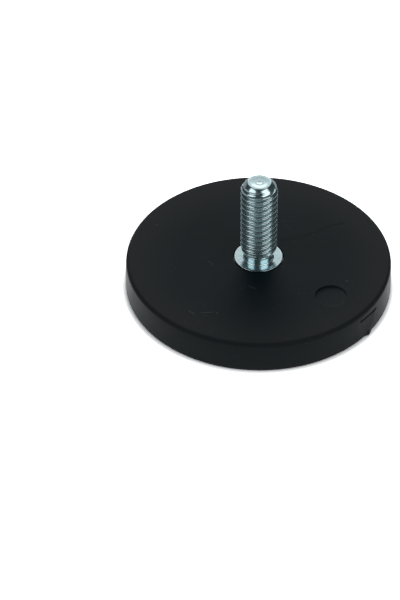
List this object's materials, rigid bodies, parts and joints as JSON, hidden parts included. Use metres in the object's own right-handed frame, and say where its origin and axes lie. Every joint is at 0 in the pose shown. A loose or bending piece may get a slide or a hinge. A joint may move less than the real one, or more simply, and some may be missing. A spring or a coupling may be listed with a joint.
{
  "type": "pot magnet",
  "caption": "Flat round magnet in a black rubber jacket, with a zinc-plated M6 threaded stud standing from the middle of its back.",
  "frame": {"origin": "centre of the magnetic face, on the stud's axis", "axes": "+Z along the stud, away from the magnetic face; +X through the moulding gate in the rim"},
  "size_m": [0.0433, 0.043, 0.0205],
  "materials": {
    "black_rubber": "satin moulded black rubber with a fine grain",
    "zinc_plated_steel": "bright blue-white zinc plating",
    "mild_steel": "plain blanked steel, sealed in the rubber",
    "nickel_plated_magnet": "nickel-plated sintered magnet, sealed in the rubber"
  },
  "bodies": {
    "root": {"rubber_jacket": "black_rubber", "threaded_stud": "zinc_plated_steel", "steel_back_plate": "mild_steel", "magnet_1": "nickel_plated_magnet", "magnet_2": "nickel_plated_magnet", "magnet_3": "nickel_plated_magnet", "magnet_4": "nickel_plated_magnet", "magnet_5": "nickel_plated_magnet", "magnet_6": "nickel_plated_magnet"}
  },
  "joints": []
}
